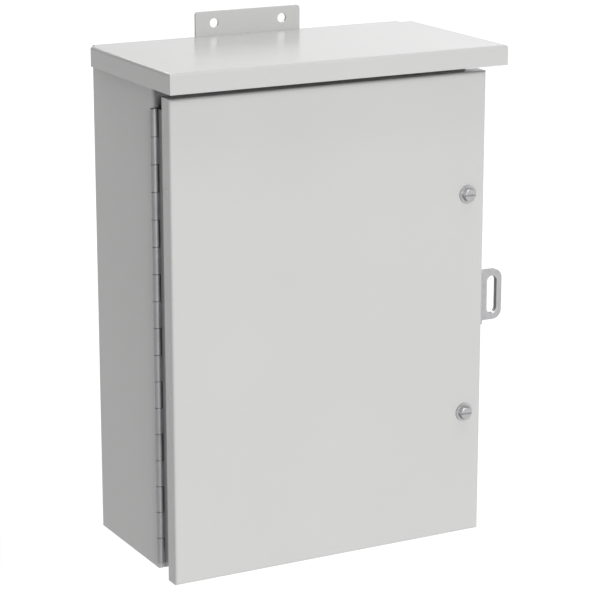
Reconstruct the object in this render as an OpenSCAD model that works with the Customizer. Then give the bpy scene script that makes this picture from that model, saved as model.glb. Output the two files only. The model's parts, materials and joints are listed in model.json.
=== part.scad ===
// Rain-proof wall enclosure with a hinged door, a drip roof and a padlock hasp.
// X runs to the right, Y runs from the front to the wall, Z runs up.
// The origin is the middle of the wall bolt pattern, on the wall plane.

/* [Body] */
// Width of the body, outside
body_w = 315; // [270:1:400]
// Height of the body, outside
body_h = 457; // [420:1:600]
// Depth of the body from its back to the front return face
body_d = 130; // [110:1:200]
// Thickness of the body, door and roof sheet
sheet_t = 1.5; // [1.2:0.1:1.8]
// Outside radius of the sheet bends
bend_r = 2.5; // [2.2:0.1:3]
// Width of the return face beside the collar
side_return_w = 36; // [34:0.5:40]
// Diameter of the drain holes in the bottom
drain_d = 6.4; // [5:0.1:8]
// Distance of a drain hole from the body's side
drain_in = 45; // [30:1:60]

/* [Rain collar] */
// How far the collar stands forward of the return face
collar_d = 26; // [22:0.5:30]
// Outside radius of the collar's corners
collar_r = 6; // [4:0.5:10]
// Free height between the door's returns and the collar
collar_gap = 12; // [8:0.5:16]

/* [Roof] */
// Height of the roof's front lip and side flanges
lip_h = 18; // [14:0.5:22]
// How far the lip stands in front of the door
roof_front = 21; // [15:0.5:30]
// How far the flanges stand outside the door's sides
roof_side = 9; // [6:0.5:16]
// How far the roof stops short of the body's back
roof_back = 18; // [6:0.5:25]

/* [Door] */
// How far the door hangs below the body
door_drop = 4.5; // [2:0.5:7]
// Free height between the door and the roof's lip
door_head = 7.5; // [6:0.5:16]
// Depth of the door's returns
door_d = 16; // [14:0.5:20]
// Groove between the door's returns and the return face
door_gap = 18; // [15:0.5:22]

/* [Hinge] */
// Diameter of the hinge pin
pin_d = 4; // [3:0.1:4.2]
// Thickness of the hinge leaves
leaf_t = 1.5; // [1.2:0.1:1.6]
// Free height between the hinge's ends and the door's ends
hinge_end = 12; // [10:0.5:60]
// Number of knuckles on both leaves together
knuckle_n = 17; // [9:2:21]
// Width of the leaf on the return face
body_leaf_w = 25; // [18:0.5:25.5]
// Width of the leaf inside the door
door_leaf_w = 27; // [22:0.5:27.5]
// Free space between neighbouring knuckles
knuckle_gap = 0.4; // [0.3:0.05:0.6]

/* [Hasp] */
// Height of the hasp's middle above the door's middle
hasp_lift = 4.5; // [0:0.5:20]
// Height of the hasp tabs
hasp_h = 48; // [40:1:60]
// Reach of the tabs past the door's side
hasp_reach = 30; // [25:0.5:36]
// Thickness of the tabs
hasp_t = 2.2; // [2:0.1:3]
// Radius of the tabs' outer corners
hasp_r = 9; // [5:0.5:12]
// Width of the padlock slot
slot_w = 10.5; // [8:0.1:11]
// Length of the padlock slot
slot_len = 36; // [28:0.5:38]
// Metal between the slot and the tab's end
slot_rim = 5.5; // [5:0.5:9]
// Length of the body tab's foot along the body's side
hasp_foot = 26; // [18:1:40]

/* [Cover screws] */
// Root diameter of the screw's thread
screw_d = 5; // [4.5:0.1:5.4]
// Diameter of the screw's waist, behind the door
waist_d = 4.2; // [3.6:0.1:4.3]
// Width across the flats of the screw's head
head_af = 11; // [9:0.1:12]
// Height of the screw's head
head_h = 4.6; // [3.5:0.1:6]
// Width of the driver slot
driver_w = 1.6; // [1.2:0.1:2]
// Depth of the driver slot
driver_h = 1.8; // [1.2:0.1:2.2]
// Diameter of the washer under the head
washer_d = 17; // [14:0.5:19]
// Thickness of the washer under the head
washer_t = 1.2; // [0.8:0.1:1.6]
// Drop of the upper screw below the door's top
upper_screw_drop = 112; // [80:1:130]
// Rise of the lower screw above the door's bottom
lower_screw_rise = 118; // [80:1:130]
// Free space between a threaded post and the door
post_gap = 3.5; // [3:0.1:5]
// Width across the flats of the posts
post_af = 11; // [10:0.1:12]
// Length of screw inside its post
screw_grip = 9; // [6:0.5:12]

/* [Wall brackets] */
// Width of a bracket
bracket_w = 108; // [100:1:160]
// Thickness of a bracket
bracket_t = 2.7; // [2:0.1:4]
// Height of a bracket past the roof or the bottom
tab_h = 20.5; // [18:0.5:35]
// Height of a bracket on the body's back
bracket_lap = 42; // [30:1:60]
// Spacing of the two holes in a bracket
hole_pitch = 70; // [60:1:80]
// Diameter of the wall bolt holes
hole_d = 8.7; // [7:0.1:11]
// Distance of the holes from the bracket's end
hole_in = 11; // [9:0.5:12]
// Radius of the brackets' corners
bracket_r = 3; // [2:0.5:6]

/* [Mounting panel] */
// Distance of the panel's sides from the body's sides
panel_side = 42; // [41:0.5:55]
// Distance of the panel's ends from the body's ends
panel_end = 40; // [38:0.5:60]
// Thickness of the panel
panel_t = 2; // [1.5:0.1:3]
// Radius of the panel's corners
panel_r = 6; // [3:0.5:10]
// Free depth behind the panel
panel_gap = 12; // [8:0.5:20]
// Distance of the studs from the panel's edges
stud_in = 15; // [12:0.5:20]
// Diameter of the studs
stud_d = 6; // [5:0.1:6.4]
// Diameter of the studs' collars
stud_collar_d = 11; // [9:0.5:14]
// Width across the flats of the nuts
nut_af = 10; // [9.5:0.1:11]
// Height of the nuts
nut_h = 5; // [4:0.1:6]
// Diameter of the nuts' washers
nut_washer_d = 13; // [12:0.5:15]
// Thickness of the nuts' washers
nut_washer_t = 1.2; // [0.8:0.1:1.6]
// Distance of the ground stud from the body's side
ground_side = 42; // [30:1:70]
// Height of the ground stud above the body's bottom
ground_rise = 21; // [16:0.5:24]

/* [Hidden] */
$fn = 48;
// Extra length of every cut past the face it opens
overrun = 1;
// Free space of a pin or stud in its bore, on the radius
pin_clear = 0.05;
// Free space of a screw's waist in its retainer, on the radius
waist_clear = 0.3;
// Free space of a screw in the door and in its post, on the radius
screw_clear = 0.9;
// Free space under a screw's head and behind the door
screw_float = 0.1;
// Free space between the two hasp tabs
hasp_gap = 0.8;
// Free space between the collar and the opening that it is welded in
weld_gap = 0.1;
// Free space between a leaf's edge and the other leaf's knuckles
notch_gap = 0.6;
// Wall of the retainer ring and its thickness
retainer_wall = 3;
retainer_t = 1.2;
// Length of stud past its nut
stud_end = 3;
// Free space of the studs in the panel, on the radius
panel_clear = 0.5;
// Lead-in at a screw's tip, a stud's end and a head's rim
chamfer = 0.7;

// Planes from the wall to the front
y_back = -bracket_t;
y_inside = y_back - sheet_t;
y_face = y_back - body_d;
y_door_rear = y_face - door_gap;
y_front = y_door_rear - door_d;
y_lip = y_front - roof_front;
y_roof_end = y_back - roof_back;

// Levels from the bottom to the top
z_bottom = -(body_h + sheet_t) / 2;
z_top = z_bottom + body_h;
z_roof = z_top + sheet_t;
z_door_low = z_bottom - door_drop;
z_door_high = z_roof - lip_h - door_head;
z_door_mid = (z_door_low + z_door_high) / 2;
z_body_mid = (z_bottom + z_top) / 2;
z_hasp = z_door_mid + hasp_lift;

// Sizes that follow
door_h = z_door_high - z_door_low;
roof_w = body_w + 2 * roof_side;
collar_w = body_w - 2 * side_return_w;
collar_h = door_h - 2 * sheet_t - 2 * collar_gap;
panel_w = body_w - 2 * panel_side;
panel_h = body_h - 2 * panel_end;
bore_r = pin_d / 2 + pin_clear;
barrel_r = bore_r + leaf_t;
x_leaf = -body_w / 2 + sheet_t;
x_pin = x_leaf + leaf_t - barrel_r;
y_pin = y_face - barrel_r;
hinge_len = door_h - 2 * hinge_end;
knuckle_len = hinge_len / knuckle_n;
x_screw = (body_w + collar_w) / 4;
z_upper_screw = z_door_high - upper_screw_drop;
z_lower_screw = z_door_low + lower_screw_rise;
y_head = y_front - washer_t - screw_float;
post_h = door_gap + door_d - sheet_t - post_gap;
y_post = y_face - post_h;
y_tip = y_post + screw_grip;
y_retainer = y_front + sheet_t + screw_float;
stud_len = panel_gap + panel_t + nut_washer_t + nut_h + stud_end;
ground_len = nut_washer_t + nut_h + stud_end;
x_hasp_end = body_w / 2 + hasp_reach;
y_body_tab = y_door_rear + hasp_gap;

paint = [0.82, 0.82, 0.82];
steel = [0.55, 0.55, 0.56];
zinc = [0.70, 0.71, 0.72];
dull_zinc = [0.60, 0.60, 0.61];

// Straight block between its lowest and highest corners
module span(low, high) {
    translate(low) cube(high - low);
}

// Rounded rectangle about the origin
module round_rect(w, h, r) {
    square([w - 2 * r, h], center = true);
    square([w, h - 2 * r], center = true);
    for (sx = [-1, 1], sy = [-1, 1])
        translate([sx * (w / 2 - r), sy * (h / 2 - r)]) circle(r);
}

// Upright plate of the child outline, with its front at y and its back at y + t
module upright(y, t) {
    translate([0, y + t, 0]) rotate([90, 0, 0]) linear_extrude(t) children();
}

// Round bar along Y from y to y + len
module bar(y, len, d) {
    translate([0, y, 0]) rotate([-90, 0, 0]) cylinder(len, d = d);
}

// Hexagonal bar along Y from y to y + len, by its width across the flats
module hex_bar(y, len, af) {
    translate([0, y, 0]) rotate([-90, 0, 0]) cylinder(len, d = af / cos(30), $fn = 6);
}

// Round ring along Y
module ring(y, len, d, bore) {
    difference() {
        bar(y, len, d);
        bar(y - overrun, len + 2 * overrun, bore);
    }
}

// Block with bent edges, its front at y = 0 and its middle on the Y axis
module bent_block(w, d, h, r) {
    intersection() {
        translate([0, d / 2, -h]) linear_extrude(2 * h) round_rect(w, d, r);
        translate([-w, d / 2, 0]) rotate([90, 0, 90]) linear_extrude(2 * w) round_rect(d, h, r);
    }
}

// Folded sheet pan, its face at y = 0 and its four returns running to y = d
module folded_pan(w, d, h) {
    difference() {
        bent_block(w, d + bend_r, h, bend_r);
        translate([0, sheet_t, 0])
            bent_block(w - 2 * sheet_t, d + bend_r, h - 2 * sheet_t, bend_r - sheet_t);
        span([-w, d, -h], [w, d + bend_r + overrun, h]);
    }
}

// Folded box with a return face all round its front opening
module body_shell() {
    color(paint) difference() {
        translate([0, y_face, z_body_mid]) bent_block(body_w, body_d, body_h, bend_r);
        translate([0, y_face + sheet_t, z_body_mid])
            bent_block(body_w - 2 * sheet_t, body_d - 2 * sheet_t, body_h - 2 * sheet_t, bend_r - sheet_t);
        translate([0, 0, z_door_mid]) upright(y_face - overrun, sheet_t + 2 * overrun)
            round_rect(collar_w + 2 * weld_gap, collar_h + 2 * weld_gap, collar_r + weld_gap);
        for (side = [-1, 1])
            translate([side * (body_w / 2 - drain_in), y_face + drain_in, z_bottom - overrun])
                cylinder(sheet_t + 2 * overrun, d = drain_d);
    }
}

// Strip frame that keeps rain out of the opening, inside the door's returns
module rain_collar() {
    inner_w = collar_w - 2 * sheet_t;
    inner_h = collar_h - 2 * sheet_t;
    color(paint) translate([0, 0, z_door_mid]) difference() {
        upright(y_face - collar_d, collar_d + sheet_t) round_rect(collar_w, collar_h, collar_r);
        upright(y_face - collar_d - overrun, collar_d + sheet_t + 2 * overrun)
            round_rect(inner_w, inner_h, collar_r - sheet_t);
    }
}

// Drip roof with a front lip and two side flanges, open at the back
module roof_cap() {
    depth = y_roof_end - y_lip;
    color(paint) difference() {
        translate([0, y_lip + depth, z_roof]) rotate([-90, 0, 0]) folded_pan(roof_w, lip_h, 2 * depth);
        span([-roof_w, y_roof_end, z_roof - 2 * lip_h], [roof_w, y_roof_end + 2 * depth, z_roof + overrun]);
    }
}

// Flat wall strap with two bolt holes, standing up from z = 0 by tab_h
module wall_strap(lap) {
    color(paint) translate([0, 0, (tab_h - lap) / 2]) upright(y_back, bracket_t) difference() {
        round_rect(bracket_w, tab_h + lap, bracket_r);
        for (side = [-1, 1])
            translate([side * hole_pitch / 2, (tab_h + lap) / 2 - hole_in]) circle(d = hole_d);
    }
}

module top_wall_bracket() {
    translate([0, 0, z_roof]) wall_strap(bracket_lap + sheet_t);
}

module bottom_wall_bracket() {
    translate([0, 0, z_bottom]) mirror([0, 0, 1]) wall_strap(bracket_lap);
}

// Knuckles of one leaf: every second one, from the first or the second
module knuckles(first) {
    for (i = [first : 2 : knuckle_n - 1])
        translate([0, 0, z_door_mid - hinge_len / 2 + i * knuckle_len + knuckle_gap / 2]) children();
}

// Bore along the whole barrel
module pin_bore() {
    translate([x_pin, y_pin, z_door_mid - hinge_len / 2 - overrun])
        cylinder(hinge_len + 2 * overrun, r = bore_r);
}

// Leaf on the return face, with the odd knuckles
module hinge_body_leaf() {
    color(steel) difference() {
        union() {
            span([x_pin + barrel_r + notch_gap, y_face - leaf_t, z_door_mid - hinge_len / 2],
                [x_pin + body_leaf_w, y_face, z_door_mid + hinge_len / 2]);
            knuckles(0) {
                translate([x_pin, y_pin, 0]) cylinder(knuckle_len - knuckle_gap, r = barrel_r);
                span([x_pin, y_face - leaf_t, 0],
                    [x_pin + body_leaf_w, y_face, knuckle_len - knuckle_gap]);
            }
        }
        pin_bore();
    }
}

// Leaf inside the door's hinge-side return, with the even knuckles
module hinge_door_leaf() {
    color(steel) difference() {
        union() {
            span([x_leaf, y_pin - door_leaf_w, z_door_mid - hinge_len / 2],
                [x_leaf + leaf_t, y_pin - barrel_r - notch_gap, z_door_mid + hinge_len / 2]);
            knuckles(1) {
                translate([x_pin, y_pin, 0]) cylinder(knuckle_len - knuckle_gap, r = barrel_r);
                span([x_leaf, y_pin - door_leaf_w, 0],
                    [x_leaf + leaf_t, y_pin, knuckle_len - knuckle_gap]);
            }
        }
        pin_bore();
    }
}

module hinge_pin() {
    color(steel) translate([x_pin, y_pin, z_door_mid - hinge_len / 2])
        cylinder(hinge_len, d = pin_d);
}

// Tab with round outer corners and an upright slot, from x0 out to the hasp's end
module slotted_tab(x0) {
    reach = x_hasp_end - x0;
    slot_x = reach - slot_rim - slot_w / 2;
    translate([x0, 0]) difference() {
        union() {
            translate([0, -hasp_h / 2]) square([reach - hasp_r, hasp_h]);
            translate([0, hasp_r - hasp_h / 2]) square([reach, hasp_h - 2 * hasp_r]);
            for (side = [-1, 1])
                translate([reach - hasp_r, side * (hasp_h / 2 - hasp_r)]) circle(hasp_r);
        }
        translate([slot_x, 0]) square([slot_w, slot_len - slot_w], center = true);
        for (side = [-1, 1])
            translate([slot_x, side * (slot_len - slot_w) / 2]) circle(d = slot_w);
    }
}

// Angle tab on the door's free side: foot along the return, slotted tab outwards
module door_hasp_tab() {
    color(dull_zinc) translate([0, 0, z_hasp]) {
        upright(y_door_rear - hasp_t, hasp_t) slotted_tab(body_w / 2);
        span([body_w / 2, y_front + bend_r, -hasp_h / 2], [body_w / 2 + hasp_t, y_door_rear, hasp_h / 2]);
    }
}

// Angle tab on the body's side, reaching forward behind the door's tab
module body_hasp_tab() {
    color(dull_zinc) translate([0, 0, z_hasp]) {
        upright(y_body_tab, hasp_t) slotted_tab(body_w / 2);
        span([body_w / 2, y_body_tab, -hasp_h / 2], [body_w / 2 + hasp_t, y_face + hasp_foot, hasp_h / 2]);
    }
}

// Folded door with four returns
module door_pan() {
    color(paint) difference() {
        translate([0, y_front, z_door_mid]) folded_pan(body_w, door_d, door_h);
        for (z = [z_upper_screw, z_lower_screw])
            translate([x_screw, 0, z])
                bar(y_front - overrun, sheet_t + 2 * overrun, screw_d + 2 * screw_clear);
    }
}

// Captive cover screw: slotted hexagon head, thin waist, threaded end
module cover_screw(z) {
    color(dull_zinc) translate([x_screw, 0, z]) difference() {
        union() {
            intersection() {
                hex_bar(y_head - head_h, head_h, head_af);
                translate([0, y_head, 0]) rotate([90, 0, 0])
                    cylinder(head_h, d1 = head_af / cos(30) + 2 * head_h, d2 = head_af - chamfer);
            }
            bar(y_head, y_tip - y_head, waist_d);
            bar(y_post, screw_grip - chamfer, screw_d);
            translate([0, y_tip - chamfer, 0]) rotate([-90, 0, 0])
                cylinder(chamfer, d1 = screw_d, d2 = screw_d - 2 * chamfer);
        }
        span([-head_af, y_head - head_h - overrun, -driver_w / 2],
            [head_af, y_head - head_h + driver_h, driver_w / 2]);
    }
}

module screw_washer(z) {
    color(dull_zinc) translate([x_screw, 0, z])
        ring(y_front - washer_t, washer_t, washer_d, screw_d + 2 * screw_clear);
}

// Ring behind the door that keeps the screw from falling out
module screw_retainer(z) {
    bore = waist_d + 2 * waist_clear;
    color(zinc) translate([x_screw, 0, z]) ring(y_retainer, retainer_t, bore + 2 * retainer_wall, bore);
}

// Threaded post that the cover screw is driven into
module screw_post(z) {
    color(zinc) translate([x_screw, 0, z]) difference() {
        hex_bar(y_post, post_h, post_af);
        bar(y_post - overrun, post_h + overrun - sheet_t, screw_d + 2 * screw_clear);
    }
}

// The four stud places of the mounting panel
module stud_places() {
    for (sx = [-1, 1], sz = [-1, 1])
        translate([sx * (panel_w / 2 - stud_in), 0, z_body_mid + sz * (panel_h / 2 - stud_in)]) children();
}

// Flat plate that the equipment is fixed to
module mounting_panel() {
    y_panel = y_inside - panel_gap - panel_t;
    color(zinc) difference() {
        translate([0, 0, z_body_mid]) upright(y_panel, panel_t) round_rect(panel_w, panel_h, panel_r);
        stud_places() bar(y_panel - overrun, panel_t + 2 * overrun, stud_d + 2 * panel_clear);
    }
}

// Threaded stud of length len from the body's back wall, pointing forward
module stud(len) {
    bar(y_inside - len + chamfer, len - chamfer, stud_d);
    translate([0, y_inside - len + chamfer, 0]) rotate([90, 0, 0])
        cylinder(chamfer, d1 = stud_d, d2 = stud_d - 2 * chamfer);
}

// Hexagon nut with its seat at y, towards the front
module nut(y) {
    difference() {
        hex_bar(y - nut_h, nut_h, nut_af);
        bar(y - nut_h - overrun, nut_h + 2 * overrun, stud_d + 2 * pin_clear);
    }
}

module nut_washer(y) {
    ring(y - nut_washer_t, nut_washer_t, nut_washer_d, stud_d + 2 * panel_clear);
}

module panel_studs() {
    color(zinc) stud_places() {
        stud(stud_len);
        bar(y_inside - panel_gap, panel_gap, stud_collar_d);
    }
}

module panel_washers() {
    color(zinc) stud_places() nut_washer(y_inside - panel_gap - panel_t);
}

module panel_nuts() {
    color(zinc) stud_places() nut(y_inside - panel_gap - panel_t - nut_washer_t);
}

// Place of the ground stud, below the panel
module ground_place() {
    translate([ground_side - body_w / 2, 0, z_bottom + ground_rise]) children();
}

module ground_stud() {
    color(zinc) ground_place() stud(ground_len);
}

module ground_washer() {
    color(zinc) ground_place() nut_washer(y_inside);
}

module ground_nut() {
    color(zinc) ground_place() nut(y_inside - nut_washer_t);
}

body_shell();
rain_collar();
roof_cap();
top_wall_bracket();
bottom_wall_bracket();
hinge_body_leaf();
hinge_pin();
body_hasp_tab();
screw_post(z_upper_screw);  // upper_screw_post
screw_post(z_lower_screw);  // lower_screw_post
mounting_panel();
panel_studs();
panel_washers();
panel_nuts();
ground_stud();
ground_washer();
ground_nut();
door_pan();
hinge_door_leaf();
door_hasp_tab();
screw_washer(z_upper_screw);  // upper_screw_washer
screw_retainer(z_upper_screw);  // upper_screw_retainer
screw_washer(z_lower_screw);  // lower_screw_washer
screw_retainer(z_lower_screw);  // lower_screw_retainer
cover_screw(z_upper_screw);  // upper_cover_screw
cover_screw(z_lower_screw);  // lower_cover_screw
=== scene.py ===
import json
import math

import bmesh
import bpy
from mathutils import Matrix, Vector


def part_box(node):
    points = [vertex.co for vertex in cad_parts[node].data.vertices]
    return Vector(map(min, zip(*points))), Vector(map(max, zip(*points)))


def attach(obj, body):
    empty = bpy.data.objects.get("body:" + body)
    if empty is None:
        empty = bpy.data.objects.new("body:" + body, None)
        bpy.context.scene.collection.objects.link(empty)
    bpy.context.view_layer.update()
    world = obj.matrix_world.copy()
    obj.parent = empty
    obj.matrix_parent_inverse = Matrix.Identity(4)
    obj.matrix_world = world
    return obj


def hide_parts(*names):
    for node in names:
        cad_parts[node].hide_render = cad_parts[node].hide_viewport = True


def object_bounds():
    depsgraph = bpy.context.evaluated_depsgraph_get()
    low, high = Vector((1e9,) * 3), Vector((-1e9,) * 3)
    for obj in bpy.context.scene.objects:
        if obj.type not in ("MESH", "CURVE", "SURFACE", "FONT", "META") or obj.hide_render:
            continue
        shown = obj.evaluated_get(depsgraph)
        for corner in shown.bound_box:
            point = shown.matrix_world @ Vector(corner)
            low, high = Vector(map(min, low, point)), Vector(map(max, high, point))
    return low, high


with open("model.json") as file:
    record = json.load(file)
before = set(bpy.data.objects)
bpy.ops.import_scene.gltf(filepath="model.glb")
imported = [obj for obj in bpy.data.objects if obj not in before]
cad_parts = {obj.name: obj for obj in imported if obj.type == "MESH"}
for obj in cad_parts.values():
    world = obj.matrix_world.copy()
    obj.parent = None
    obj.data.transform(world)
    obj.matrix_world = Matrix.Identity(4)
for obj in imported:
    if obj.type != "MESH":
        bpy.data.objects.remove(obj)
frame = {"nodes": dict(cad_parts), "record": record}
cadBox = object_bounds()
nodes = frame["nodes"]
scene = bpy.context.scene
print("frame loaded:", len(nodes), "solids")


class Wire:
    # a node socket that takes plain arithmetic, for shader and geometry trees alike
    def __init__(self, tree, socket=None):
        self.tree = tree
        self.socket = socket

    def node(self, kind, settings=None, sockets=None, out=0):
        made = self.tree.nodes.new(kind)
        for name, value in (settings or {}).items():
            setattr(made, name, value)
        for key, value in (sockets or {}).items():
            if isinstance(value, Wire):
                self.tree.links.new(value.socket, made.inputs[key])
            elif isinstance(value, list):
                for one in value:
                    self.tree.links.new(one.socket, made.inputs[key])
            else:
                made.inputs[key].default_value = value
        return Wire(self.tree, made.outputs[out]) if len(made.outputs) else None

    def calc(self, operation, first, second):
        return self.node("ShaderNodeMath", {"operation": operation}, {0: first, 1: second})

    def __add__(self, other):
        return self.calc("ADD", self, other)

    def __radd__(self, other):
        return self.calc("ADD", other, self)

    def __sub__(self, other):
        return self.calc("SUBTRACT", self, other)

    def __rsub__(self, other):
        return self.calc("SUBTRACT", other, self)

    def __mul__(self, other):
        return self.calc("MULTIPLY", self, other)

    def __rmul__(self, other):
        return self.calc("MULTIPLY", other, self)

    def __truediv__(self, other):
        return self.calc("DIVIDE", self, other)

    def __rtruediv__(self, other):
        return self.calc("DIVIDE", other, self)


def newFinish(name):
    finish = bpy.data.materials.new(name)
    finish.use_nodes = True
    finish.node_tree.nodes.clear()
    return finish, Wire(finish.node_tree)


def closeFinish(wire, sockets):
    shader = wire.node("ShaderNodeBsdfPrincipled", {}, sockets)
    wire.node("ShaderNodeOutputMaterial", {}, {"Surface": shader})


def objectPlace(wire, stretch=(1.0, 1.0, 1.0)):
    place = wire.node("ShaderNodeTexCoord", {}, {}, "Object")
    return wire.node("ShaderNodeMapping", {}, {"Vector": place, "Scale": stretch})


def noise(wire, place, scale, detail, rough=0.5):
    return wire.node("ShaderNodeTexNoise", {}, {
        "Vector": place, "Scale": scale, "Detail": detail, "Roughness": rough}, "Fac")


def shade(wire, amount, dark, light):
    # a Mix node's colour sockets go by number, since its other sockets share their names
    return wire.node("ShaderNodeMix", {"data_type": "RGBA"}, {
        "Factor": amount, 6: (*dark, 1.0), 7: (*light, 1.0)}, 2)


def bumped(wire, height, strength, depth):
    return wire.node("ShaderNodeBump", {}, {
        "Strength": strength, "Distance": depth, "Height": height})


powderCoat = dict(
    dark=(0.305, 0.305, 0.302), light=(0.335, 0.335, 0.332), ior=1.5,
    cloud=dict(scale=7.0, detail=3.0), cloudShare=0.8,
    speck=dict(scale=2600.0, detail=1.0), speckShare=0.2,
    handled=dict(scale=23.0, detail=5.0, rough=0.6), gloss=0.16, handledGloss=0.10,
    peel=dict(scale=900.0, detail=1.5, rough=0.4), peelDepth=0.000056,
    sway=dict(scale=7.0, detail=1.0, rough=0.3), swayDepth=0.00125)


def makePowderCoat():
    coat = powderCoat
    finish, wire = newFinish("greyPowderCoat")
    place = objectPlace(wire)
    cloud = noise(wire, place, **coat["cloud"])
    speck = noise(wire, place, **coat["speck"])
    mottle = cloud * coat["cloudShare"] + speck * coat["speckShare"]
    tone = shade(wire, mottle, coat["dark"], coat["light"])
    handled = noise(wire, place, **coat["handled"])
    peel = noise(wire, place, **coat["peel"])
    sway = noise(wire, place, **coat["sway"])
    # one height in metres: the coat's fine peel on the sheet's slight waviness
    height = peel * coat["peelDepth"] + sway * coat["swayDepth"]
    closeFinish(wire, {
        "Base Color": tone, "Roughness": coat["gloss"] + coat["handledGloss"] * handled,
        "Normal": bumped(wire, height, strength=1.0, depth=1.0), "IOR": coat["ior"]})
    return finish


hingeMetal = dict(
    dark=(0.18, 0.18, 0.185), light=(0.30, 0.30, 0.305), metallic=0.85,
    rolled=dict(scale=1800.0, detail=3.0), rolledStretch=(1.0, 1.0, 0.02), rolledShare=0.5,
    scale=dict(scale=60.0, detail=4.0, rough=0.6), scaleShare=0.5, gloss=0.34, scaleGloss=0.2,
    bump=dict(strength=0.08, depth=0.0003))


def makeHingeMetal():
    metal = hingeMetal
    finish, wire = newFinish("galvanizedSteel")
    rolled = noise(wire, objectPlace(wire, metal["rolledStretch"]), **metal["rolled"])
    scale = noise(wire, objectPlace(wire), **metal["scale"])
    mottle = metal["rolledShare"] * rolled + metal["scaleShare"] * scale
    closeFinish(wire, {
        "Base Color": shade(wire, mottle, metal["dark"], metal["light"]),
        "Metallic": metal["metallic"], "Roughness": metal["gloss"] + metal["scaleGloss"] * scale,
        "Normal": bumped(wire, rolled, **metal["bump"])})
    return finish


zincPlate = dict(
    dark=(0.47, 0.48, 0.50), light=(0.63, 0.64, 0.66), metallic=1.0,
    bloom=dict(scale=180.0, detail=3.0), gloss=0.24, bloomGloss=0.2,
    scratch=dict(scale=4200.0, detail=2.0), scratchStretch=(1.0, 0.08, 1.0),
    bump=dict(strength=0.05, depth=0.0002))


def makeZincPlate():
    plate = zincPlate
    finish, wire = newFinish("brightZincPlate")
    bloom = noise(wire, objectPlace(wire), **plate["bloom"])
    scratch = noise(wire, objectPlace(wire, plate["scratchStretch"]), **plate["scratch"])
    closeFinish(wire, {
        "Base Color": shade(wire, bloom, plate["dark"], plate["light"]),
        "Metallic": plate["metallic"], "Roughness": plate["gloss"] + plate["bloomGloss"] * bloom,
        "Normal": bumped(wire, scratch, **plate["bump"])})
    return finish


dullZinc = dict(
    dark=(0.30, 0.30, 0.307), light=(0.44, 0.44, 0.447), metallic=0.9,
    crystal=dict(scale=2400.0, detail=3.0), crystalShare=0.4,
    rub=dict(scale=140.0, detail=4.0, rough=0.6), rubShare=0.6, gloss=0.34, rubGloss=0.2,
    bump=dict(strength=0.08, depth=0.0002))


def makeDullZinc():
    plate = dullZinc
    finish, wire = newFinish("dullZincPlate")
    place = objectPlace(wire)
    crystal = noise(wire, place, **plate["crystal"])
    rub = noise(wire, place, **plate["rub"])
    mottle = plate["crystalShare"] * crystal + plate["rubShare"] * rub
    closeFinish(wire, {
        "Base Color": shade(wire, mottle, plate["dark"], plate["light"]),
        "Metallic": plate["metallic"], "Roughness": plate["gloss"] + plate["rubGloss"] * rub,
        "Normal": bumped(wire, crystal, **plate["bump"])})
    return finish


panelCoat = dict(
    dark=(0.41, 0.41, 0.405), light=(0.45, 0.45, 0.445),
    cloud=dict(scale=9.0, detail=3.0), gloss=0.36, cloudGloss=0.1,
    grain=dict(scale=1500.0, detail=2.0), bump=dict(strength=0.10, depth=0.0003))


def makePanelCoat():
    coat = panelCoat
    finish, wire = newFinish("satinWhiteCoat")
    place = objectPlace(wire)
    cloud = noise(wire, place, **coat["cloud"])
    grain = noise(wire, place, **coat["grain"])
    closeFinish(wire, {
        "Base Color": shade(wire, cloud, coat["dark"], coat["light"]),
        "Roughness": coat["gloss"] + coat["cloudGloss"] * cloud,
        "Normal": bumped(wire, grain, **coat["bump"])})
    return finish


finishes = {
    "grey_paint": makePowderCoat(),
    "hinge_steel": makeHingeMetal(),
    "zinc_steel": makeZincPlate(),
    "dull_zinc": makeDullZinc(),
    "panel_paint": makePanelCoat(),
}
slotOf = {part["node"]: part["material_slot"] for part in frame["record"]["subparts"]}
for node, slotName in slotOf.items():
    solid = nodes[node]
    solid.data.materials.clear()
    solid.data.materials.append(finishes[slotName])
print("finishes set:", len(finishes))


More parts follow.
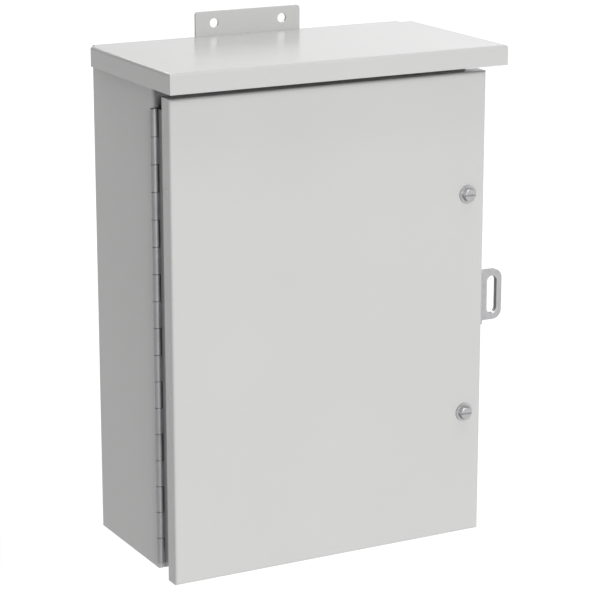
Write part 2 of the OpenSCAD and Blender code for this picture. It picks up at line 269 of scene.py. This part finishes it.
class Shape(Wire):
    # a Geometry Nodes tree with named sizes, baked into a plain mesh
    def __init__(self, name, sizes):
        super().__init__(bpy.data.node_groups.new(name, "GeometryNodeTree"))
        face = self.tree.interface
        self.entry = {"Path": face.new_socket(
            "Path", in_out="INPUT", socket_type="NodeSocketGeometry")}
        for label, value in sizes.items():
            entry = face.new_socket(label, in_out="INPUT", socket_type="NodeSocketFloat")
            entry.default_value = value
            self.entry[label] = entry
        self.entry["Finish"] = face.new_socket(
            "Finish", in_out="INPUT", socket_type="NodeSocketMaterial")
        face.new_socket("Shape", in_out="OUTPUT", socket_type="NodeSocketGeometry")
        self.inlet = self.tree.nodes.new("NodeGroupInput")

    def size(self, label):
        return Wire(self.tree, self.inlet.outputs[label])

    def close(self, shape, smooth=True):
        whole = self.node("GeometryNodeRealizeInstances", {}, {"Geometry": shape})
        shaded = self.node("GeometryNodeSetShadeSmooth", {}, {
            "Geometry": whole, "Shade Smooth": smooth})
        dressed = self.node("GeometryNodeSetMaterial", {}, {
            "Geometry": shaded, "Material": self.size("Finish")})
        self.node("NodeGroupOutput", {}, {"Shape": dressed})

    def bake(self, name, body, slotName, points, links=(), facing=None, standsFor=(), **sizes):
        base = bpy.data.meshes.new(name + "Path")
        base.from_pydata(points, links, [])
        if facing:
            way = base.attributes.new("facing", "FLOAT_VECTOR", "POINT")
            way.data.foreach_set("vector", [part for point in facing for part in point])
        maker = bpy.data.objects.new(name + "Maker", base)
        scene.collection.objects.link(maker)
        grow = maker.modifiers.new("grow", "NODES")
        grow.node_group = self.tree
        for label, value in sizes.items():
            grow[self.entry[label].identifier] = value
        grow[self.entry["Finish"].identifier] = finishes[slotName]
        bpy.context.view_layer.update()
        ready = maker.evaluated_get(bpy.context.evaluated_depsgraph_get())
        mesh = bpy.data.meshes.new_from_object(ready)
        maker.modifiers.remove(grow)
        bpy.data.objects.remove(maker)
        mesh.name = name
        piece = bpy.data.objects.new(name, mesh)
        scene.collection.objects.link(piece)
        if standsFor:
            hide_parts(*standsFor)
        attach(piece, body)
        return piece


layAlongY = (math.radians(90.0), 0.0, 0.0)


def setAtPoints(tree, shape, turn=None):
    dots = tree.node("GeometryNodeMeshToPoints", {}, {"Mesh": tree.size("Path")})
    sockets = {"Points": dots, "Instance": shape}
    if turn:
        sockets["Rotation"] = turn
    return tree.node("GeometryNodeInstanceOnPoints", {}, sockets)


def laidAtPoints(tree, shape):
    # turned from the Z axis to the wall's direction, one at each point, with flat faces
    laid = tree.node("GeometryNodeTransform", {}, {"Geometry": shape, "Rotation": layAlongY})
    tree.close(setAtPoints(tree, laid), False)
    return tree


def lifted(tree, shape, height):
    place = tree.node("ShaderNodeCombineXYZ", {}, {"Z": height})
    return tree.node("GeometryNodeTransform", {}, {"Geometry": shape, "Translation": place})


def cylinder(tree, sides, radius, depth):
    return tree.node("GeometryNodeMeshCylinder", {"fill_type": "NGON"}, {
        "Vertices": sides, "Radius": radius, "Depth": depth})


def ball(tree, segments, rings, radius):
    return tree.node("GeometryNodeMeshUVSphere", {}, {
        "Segments": segments, "Rings": rings, "Radius": radius})


# shares of the pitch for the ridge's foot, of the foot for its crest, of the crest for its sunk part
threadForm = dict(turnSteps=24, footShare=0.46, crestShare=0.12, sunkShare=0.25)


def rolledThread(tree, root, crest, pitch, length):
    # a helical ridge up the Z axis: a positive crest points out, a negative one points in
    helix = tree.node("GeometryNodeCurveSpiral", {}, {
        "Resolution": threadForm["turnSteps"], "Rotations": length / pitch,
        "Start Radius": root, "End Radius": root, "Height": length})
    upright = tree.node("GeometryNodeSetCurveNormal", {"mode": "Z_UP"}, {"Curve": helix})
    # the ridge is drawn the other way round when it points out, so that its faces do too
    half = tree.calc("SIGN", crest, 0.0) * pitch * -threadForm["footShare"]
    foot = crest * -threadForm["sunkShare"]
    flank = half * threadForm["crestShare"]
    outline = ((foot, half), (crest, flank), (crest, flank * -1.0), (foot, half * -1.0))
    corners = {"Point %d" % (i + 1): tree.node("ShaderNodeCombineXYZ", {}, {"X": out, "Y": along})
               for i, (out, along) in enumerate(outline)}
    ridge = tree.node("GeometryNodeCurvePrimitiveQuadrilateral", {"mode": "POINTS"}, corners)
    return tree.node("GeometryNodeCurveToMesh", {}, {
        "Curve": upright, "Profile Curve": ridge, "Fill Caps": True})


def makeThreadTree():
    tree = Shape("rolledThread", {
        "Root": 0.0025, "Crest": 0.0005, "Pitch": 0.001, "Length": 0.009})
    sizes = [tree.size(label) for label in ("Root", "Crest", "Pitch", "Length")]
    return laidAtPoints(tree, rolledThread(tree, *sizes))


# the tip's cone is longer than its lead and a hair thinner than the core it starts in
studForm = dict(sides=24, shoulderSides=40, tipTaper=0.7, tipSeat=0.985, tipRun=1.2)


def makeStudTree():
    tree = Shape("threadedStud", {
        "Root": 0.00245, "Crest": 0.00055, "Pitch": 0.001, "Length": 0.0232,
        "Shoulder": 0.0055, "Shoulder Length": 0.012, "Lead": 0.0007})
    root, length, lead = tree.size("Root"), tree.size("Length"), tree.size("Lead")
    pitch, shoulderLength = tree.size("Pitch"), tree.size("Shoulder Length")
    tipLength = lead * studForm["tipRun"]
    core = cylinder(tree, studForm["sides"], root, length - lead)
    tip = tree.node("GeometryNodeMeshCone", {"fill_type": "NGON"}, {
        "Vertices": studForm["sides"], "Radius Top": root - lead * studForm["tipTaper"],
        "Radius Bottom": root * studForm["tipSeat"], "Depth": tipLength})
    shoulder = cylinder(tree, studForm["shoulderSides"], tree.size("Shoulder"), shoulderLength)
    run = length - lead - shoulderLength - pitch
    thread = rolledThread(tree, root, tree.size("Crest"), pitch, run)
    return laidAtPoints(tree, tree.node("GeometryNodeJoinGeometry", {}, {"Geometry": [
        lifted(tree, core, (length - lead) * 0.5), lifted(tree, tip, length - tipLength),
        lifted(tree, shoulder, shoulderLength * 0.5),
        lifted(tree, thread, shoulderLength + pitch * 0.5)]}))


nutForm = dict(corners=6, ballSegments=48, ballRings=32, boreSides=32)


def makeNutTree():
    # a hexagon prism whose corners are turned down by a ball, then bored
    tree = Shape("hexagonNut", {"Flats": 0.010, "Height": 0.005, "Bore": 0.0061, "Corner": 0.0006})
    height = tree.size("Height")
    reach = tree.size("Flats") * (0.5 / math.cos(math.pi / nutForm["corners"]))
    prism = cylinder(tree, nutForm["corners"], reach, height)
    rise = height * 0.5 - tree.size("Corner")
    turner = ball(tree, nutForm["ballSegments"], nutForm["ballRings"],
                  tree.calc("SQRT", reach * reach + rise * rise, 0.0))
    turned = tree.node("GeometryNodeMeshBoolean", {"operation": "INTERSECT"}, {
        "Mesh 2": [prism, turner]})
    drill = cylinder(tree, nutForm["boreSides"], tree.size("Bore") * 0.5, height * 2.0)
    return laidAtPoints(tree, tree.node("GeometryNodeMeshBoolean", {"operation": "DIFFERENCE"}, {
        "Mesh 1": turned, "Mesh 2": drill}))


dropForm = dict(segments=10, rings=7)


def makeWeldTree():
    # overlapping drops along the path, as a hand-laid bead sets
    tree = Shape("weldBead", {"Width": 0.0026, "Step": 0.0010})
    line = tree.node("GeometryNodeMeshToCurve", {}, {"Mesh": tree.size("Path")})
    dots = tree.node("GeometryNodeResampleCurve", {"mode": "LENGTH"}, {
        "Curve": line, "Length": tree.size("Step")})
    drop = ball(tree, dropForm["segments"], dropForm["rings"], tree.size("Width") * 0.5)
    tree.close(tree.node("GeometryNodeInstanceOnPoints", {}, {"Points": dots, "Instance": drop}))
    return tree


domeForm = dict(segments=24, rings=10)


def makeSpotTree():
    # shallow raised marks that a spot welder leaves, turned to face away from the sheet
    tree = Shape("spotWeldMark", {"Width": 0.006, "Rise": 0.0002})
    width = tree.size("Width")
    dome = ball(tree, domeForm["segments"], domeForm["rings"], width * 0.5)
    flat = tree.node("ShaderNodeCombineXYZ", {}, {
        "X": 1.0, "Y": 1.0, "Z": tree.size("Rise") / width * 2.0})
    low = tree.node("GeometryNodeTransform", {}, {"Geometry": dome, "Scale": flat})
    way = tree.node("GeometryNodeInputNamedAttribute", {"data_type": "FLOAT_VECTOR"}, {
        "Name": "facing"})
    turn = tree.node("FunctionNodeAlignRotationToVector", {"axis": "Z"}, {"Vector": way})
    tree.close(setAtPoints(tree, low, turn))
    return tree


beadForm = dict(sides=10)


def makeSeamTree():
    # a smooth brushed sealing bead along a closed path
    tree = Shape("sealedSeam", {"Width": 0.0018})
    line = tree.node("GeometryNodeMeshToCurve", {}, {"Mesh": tree.size("Path")})
    ring = tree.node("GeometryNodeCurvePrimitiveCircle", {"mode": "RADIUS"}, {
        "Resolution": beadForm["sides"], "Radius": tree.size("Width") * 0.5})
    tree.close(tree.node("GeometryNodeCurveToMesh", {}, {"Curve": line, "Profile Curve": ring}))
    return tree


threadTree, studTree, nutTree = makeThreadTree(), makeStudTree(), makeNutTree()
weldTree, spotTree, seamTree = makeWeldTree(), makeSpotTree(), makeSeamTree()


def middle(node):
    low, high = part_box(node)
    return (low + high) / 2


coverThread = dict(root=0.0025, crest=0.0005, pitch=0.001, tipGap=0.0007)
postThread = dict(root=0.0034, crest=-0.00034, pitch=0.001, depth=0.012, mouthGap=0.0006)
for side in ("upper", "lower"):
    screwMid = middle(side + "_cover_screw")
    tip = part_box(side + "_cover_screw")[1].y - coverThread["tipGap"]
    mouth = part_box(side + "_screw_post")[0].y + postThread["mouthGap"]
    threadTree.bake(
        side + "ScrewThread", side + "_screw", "dull_zinc", [(screwMid.x, tip, screwMid.z)],
        Root=coverThread["root"], Crest=coverThread["crest"], Pitch=coverThread["pitch"],
        Length=tip - mouth)
    threadTree.bake(
        side + "PostThread", "cabinet", "zinc_steel",
        [(screwMid.x, mouth + postThread["depth"], screwMid.z)],
        Root=postThread["root"], Crest=postThread["crest"], Pitch=postThread["pitch"],
        Length=postThread["depth"])
print("threads rolled")

studThread = dict(Root=0.00245, Crest=0.00054, Pitch=0.001)
panelStud = {"Shoulder": 0.0055, "Shoulder Length": 0.012}
groundStud = {"Shoulder": 0.0029, "Shoulder Length": 0.0012}
hexNut = dict(Corner=0.0006)  # height that is turned off at the corners
studLow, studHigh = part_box("panel_studs")
inset = panelStud["Shoulder"]
studPoints = [(x, studHigh.y, z) for x in (studLow.x + inset, studHigh.x - inset)
              for z in (studLow.z + inset, studHigh.z - inset)]
studTree.bake("panelThreadedStuds", "cabinet", "zinc_steel", studPoints, standsFor=["panel_studs"],
              Length=studHigh.y - studLow.y, **studThread, **panelStud)
groundLow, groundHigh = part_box("ground_stud")
groundMid = middle("ground_stud")
studTree.bake("groundThreadedStud", "cabinet", "zinc_steel",
              [(groundMid.x, groundHigh.y, groundMid.z)], standsFor=["ground_stud"],
              Length=groundHigh.y - groundLow.y, **studThread, **groundStud)
nutY = middle("panel_nuts").y
nutTree.bake("panelHexNuts", "cabinet", "zinc_steel", [(x, nutY, z) for x, y, z in studPoints],
             standsFor=["panel_nuts"], **hexNut)
nutTree.bake("groundHexNut", "cabinet", "zinc_steel", [tuple(middle("ground_nut"))],
             standsFor=["ground_nut"], **hexNut)
print("studs and nuts set")


def stretches(pairs):
    points, links = [], []
    for start, end in pairs:
        links.append((len(points), len(points) + 1))
        points += [start, end]
    return points, links


def loop(points):
    return points, [(i, (i + 1) % len(points)) for i in range(len(points))]


def arc(cx, y, cz, radius, angles):
    return [(cx + radius * math.cos(math.radians(a)), y, cz + radius * math.sin(math.radians(a)))
            for a in angles]


weldBead = dict(Width=0.0026, Step=0.0010)
bracketWeld = dict(stitch=0.026, start=0.008, across=0.5)


def weldBrackets():
    pairs = []
    stitch, start = bracketWeld["stitch"], bracketWeld["start"]
    for node, sign in (("top_wall_bracket", 1), ("bottom_wall_bracket", -1)):
        low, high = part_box(node)
        inner = low.z if sign > 0 else high.z
        y = low.y
        for x in (low.x, high.x):
            pairs.append(((x, y, inner + sign * start), (x, y, inner + sign * (start + stitch))))
        for x in (low.x * bracketWeld["across"], high.x * bracketWeld["across"]):
            pairs.append(((x - stitch / 2, y, inner), (x + stitch / 2, y, inner)))
    weldTree.bake("bracketWelds", "cabinet", "grey_paint", *stretches(pairs), **weldBead)


# how far each hasp weld stops short of the tab's ends
haspWeld = dict(doorFront=0.0015, doorBack=0.0025, bodyFront=0.004, bodyBack=0.001, corner=0.008)


def weldHasp():
    low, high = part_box("door_hasp_tab")
    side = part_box("door_pan")[1].x
    ends = [((side, low.y + haspWeld["doorFront"], z), (side, high.y - haspWeld["doorBack"], z))
            for z in (low.z, high.z)]
    weldTree.bake("doorHaspWelds", "door", "dull_zinc", *stretches(ends), **weldBead)
    low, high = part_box("body_hasp_tab")
    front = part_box("body_shell")[0].y
    ends = [((side, front + haspWeld["bodyFront"], z), (side, high.y - haspWeld["bodyBack"], z))
            for z in (low.z, high.z)]
    ends.append(((side, high.y, low.z + haspWeld["corner"]),
                 (side, high.y, high.z - haspWeld["corner"])))
    weldTree.bake("bodyHaspWelds", "cabinet", "dull_zinc", *stretches(ends), **weldBead)


postWeld = dict(radius=0.0061, step=15)


def weldPosts():
    points, links = [], []
    for node in ("upper_screw_post", "lower_screw_post"):
        centre, base = middle(node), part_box(node)[1].y
        ring = arc(centre.x, base, centre.z, postWeld["radius"], range(0, 360, postWeld["step"]))
        ringPoints, ringLinks = loop(ring)
        links += [(a + len(points), b + len(points)) for a, b in ringLinks]
        points += ringPoints
    weldTree.bake("postWelds", "cabinet", "grey_paint", points, links, **weldBead)


seam = dict(width=0.0018, corner=0.006, step=15)


def sealCollar():
    low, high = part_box("rain_collar")
    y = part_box("body_shell")[0].y
    r = seam["corner"]
    quarter = 90
    points = []
    for cx, cz, start in ((high.x - r, high.z - r, 0), (low.x + r, high.z - r, 90),
                          (low.x + r, low.z + r, 180), (high.x - r, low.z + r, 270)):
        points += arc(cx, y, cz, r, range(start, start + quarter + 1, seam["step"]))
    seamTree.bake("collarSeam", "cabinet", "grey_paint", *loop(points), Width=seam["width"])


spotMark = dict(Width=0.006, Rise=0.0002)
hingeSpots = dict(count=9, leafThick=0.0015, leafEdge=0.008, returnEdge=0.006)
backSpots = dict(start=-0.14, step=0.04, count=8, strapGap=0.006, edge=0.010)


def layMarks(name, body, slotName, points, way):
    spotTree.bake(name, body, slotName, points, facing=[way] * len(points), **spotMark)


def markSpots():
    bodyLow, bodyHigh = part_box("hinge_body_leaf")
    doorLow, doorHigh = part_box("hinge_door_leaf")
    count, tall = hingeSpots["count"], bodyHigh.z - bodyLow.z
    levels = [bodyLow.z + (i + 0.5) / count * tall for i in range(count)]
    leafX, leafY = bodyHigh.x - hingeSpots["leafEdge"], bodyHigh.y - hingeSpots["leafThick"]
    returnY = doorLow.y + hingeSpots["returnEdge"]
    layMarks("bodyLeafSpots", "cabinet", "hinge_steel",
             [(leafX, leafY, z) for z in levels], (0.0, -1.0, 0.0))
    layMarks("doorLeafSpots", "door", "hinge_steel",
             [(doorHigh.x, returnY, z) for z in levels], (1.0, 0.0, 0.0))
    shellLow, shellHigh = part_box("body_shell")
    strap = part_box("top_wall_bracket")[1].x + backSpots["strapGap"]
    row = [backSpots["start"] + backSpots["step"] * i for i in range(backSpots["count"])]
    edges = (shellLow.z + backSpots["edge"], shellHigh.z - backSpots["edge"])
    layMarks("shellBackSpots", "cabinet", "grey_paint",
             [(x, shellHigh.y, z) for x in row if abs(x) > strap for z in edges], (0.0, 1.0, 0.0))
    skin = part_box("door_pan")[0].x
    layMarks("doorReturnSpots", "door", "grey_paint",
             [(skin, returnY, z) for z in levels], (-1.0, 0.0, 0.0))


softEdges = {
    "roof_cap": 0.00035, "door_pan": 0.00035, "rain_collar": 0.0003,
    "top_wall_bracket": 0.0004, "bottom_wall_bracket": 0.0004,
    "door_hasp_tab": 0.0004, "body_hasp_tab": 0.0004, "mounting_panel": 0.0004,
    "upper_cover_screw": 0.00015, "lower_cover_screw": 0.00015,
    "upper_screw_post": 0.0003, "lower_screw_post": 0.0003,
    "hinge_body_leaf": 0.0002, "hinge_door_leaf": 0.0002, "body_shell": 0.0003,
}
easing = dict(joinDoubles=1e-6, joinEased=4e-6, flatAngle=0.5, sharpAngle=35.0, segments=2)
bodies = frame["record"]["behaviour"]["bodies"]
bodyOf = {node: body for body, members in bodies.items() for node in members}


def softenEdges(node, width):
    # the same solid with its sharp edges eased, as tumbling and paint leave them
    mesh = nodes[node].data.copy()
    mesh.name = node + "Eased"
    shape = bmesh.new()
    shape.from_mesh(mesh)
    bmesh.ops.remove_doubles(shape, verts=shape.verts, dist=easing["joinDoubles"])
    bmesh.ops.dissolve_limit(shape, angle_limit=math.radians(easing["flatAngle"]),
                             verts=shape.verts, edges=shape.edges)
    shape.to_mesh(mesh)
    shape.free()
    mesh.shade_smooth()
    sharp = math.radians(easing["sharpAngle"])
    mesh.set_sharp_from_angle(angle=sharp)
    eased = bpy.data.objects.new(node + "Eased", mesh)
    scene.collection.objects.link(eased)
    ease = eased.modifiers.new("ease", "BEVEL")
    ease.width = width
    ease.segments = easing["segments"]
    ease.limit_method = "ANGLE"
    ease.angle_limit = sharp
    ease.use_clamp_overlap = True
    join = eased.modifiers.new("join", "WELD")
    join.merge_threshold = easing["joinEased"]
    settle = eased.modifiers.new("settle", "WEIGHTED_NORMAL")
    settle.keep_sharp = False
    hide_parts(node)
    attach(eased, bodyOf[node])


for node, width in softEdges.items():
    softenEdges(node, width)
print("edges eased:", len(softEdges))

weldBrackets()
weldHasp()
weldPosts()
sealCollar()
markSpots()
print("welds laid")


studio = dict(
    floorHalf=30.0, floorDrop=0.45, floorTone=0.64, floorRough=0.9,
    skyAxis=(0.8, 0.5, 0.2), skyStart=0.56, skyEnd=1.0, skyLow=0.17, skyHigh=1.6)
suns = {
    "frontSun": dict(come=(-0.085, -0.943, 0.32), power=4.2, spread=28.0),
    "topSun": dict(come=(0.05, -0.10, 1.0), power=2.35, spread=40.0),
    "backSun": dict(come=(0.08, 0.76, 0.65), power=1.2, spread=20.0),
}


def makeFloor():
    finish, wire = newFinish("paleFloor")
    tone, half = studio["floorTone"], studio["floorHalf"]
    closeFinish(wire, {"Base Color": (tone, tone, tone, 1.0), "Roughness": studio["floorRough"],
                       "Specular IOR Level": 0.0})
    level = cadBox[0].z - studio["floorDrop"]
    mesh = bpy.data.meshes.new("floor")
    corners = [(-half, -half, level), (half, -half, level), (half, half, level), (-half, half, level)]
    mesh.from_pydata(corners, [], [(0, 1, 2, 3)])
    mesh.materials.append(finish)
    floor = bpy.data.objects.new("floor", mesh)
    scene.collection.objects.link(floor)


def makeWorld():
    world = bpy.data.worlds.new("studio")
    world.use_nodes = True
    world.node_tree.nodes.clear()
    wire = Wire(world.node_tree)
    way = wire.node("ShaderNodeTexCoord", {}, {}, "Generated")
    lean = wire.node("ShaderNodeVectorMath", {"operation": "DOT_PRODUCT"}, {
        0: way, 1: studio["skyAxis"]}, "Value")
    level = wire.node("ShaderNodeMapRange", {"interpolation_type": "SMOOTHSTEP"}, {
        "Value": lean, "From Min": studio["skyStart"], "From Max": studio["skyEnd"],
        "To Min": studio["skyLow"], "To Max": studio["skyHigh"]})
    glow = wire.node("ShaderNodeBackground", {}, {"Color": (1.0, 1.0, 1.0, 1.0), "Strength": level})
    wire.node("ShaderNodeOutputWorld", {}, {"Surface": glow})
    scene.world = world


def makeSuns():
    for name, sun in suns.items():
        lamp = bpy.data.lights.new(name, "SUN")
        lamp.energy = sun["power"]
        lamp.angle = math.radians(sun["spread"])
        holder = bpy.data.objects.new(name, lamp)
        holder.rotation_euler = Vector(sun["come"]).to_track_quat("Z", "Y").to_euler()
        scene.collection.objects.link(holder)


makeFloor()
makeWorld()
makeSuns()
scene.view_settings.view_transform = "Standard"
scene.view_settings.look = "None"
print("studio lit")


# pitch is the look down and yaw the turn to the right, both in degrees
viewpoint = dict(place=(-1.0, -1.9833, 0.5657), pitch=15.014, yaw=28.026, lens=144.39, sensor=36.0)


def makeCamera():
    lens = bpy.data.cameras.new("photoView")
    lens.sensor_width = viewpoint["sensor"]
    lens.lens = viewpoint["lens"]
    camera = bpy.data.objects.new("photoView", lens)
    camera.location = viewpoint["place"]
    tilt, turn = math.radians(90.0 - viewpoint["pitch"]), -math.radians(viewpoint["yaw"])
    camera.rotation_euler = (tilt, 0.0, turn)
    scene.collection.objects.link(camera)
    scene.camera = camera


makeCamera()
print("camera set")
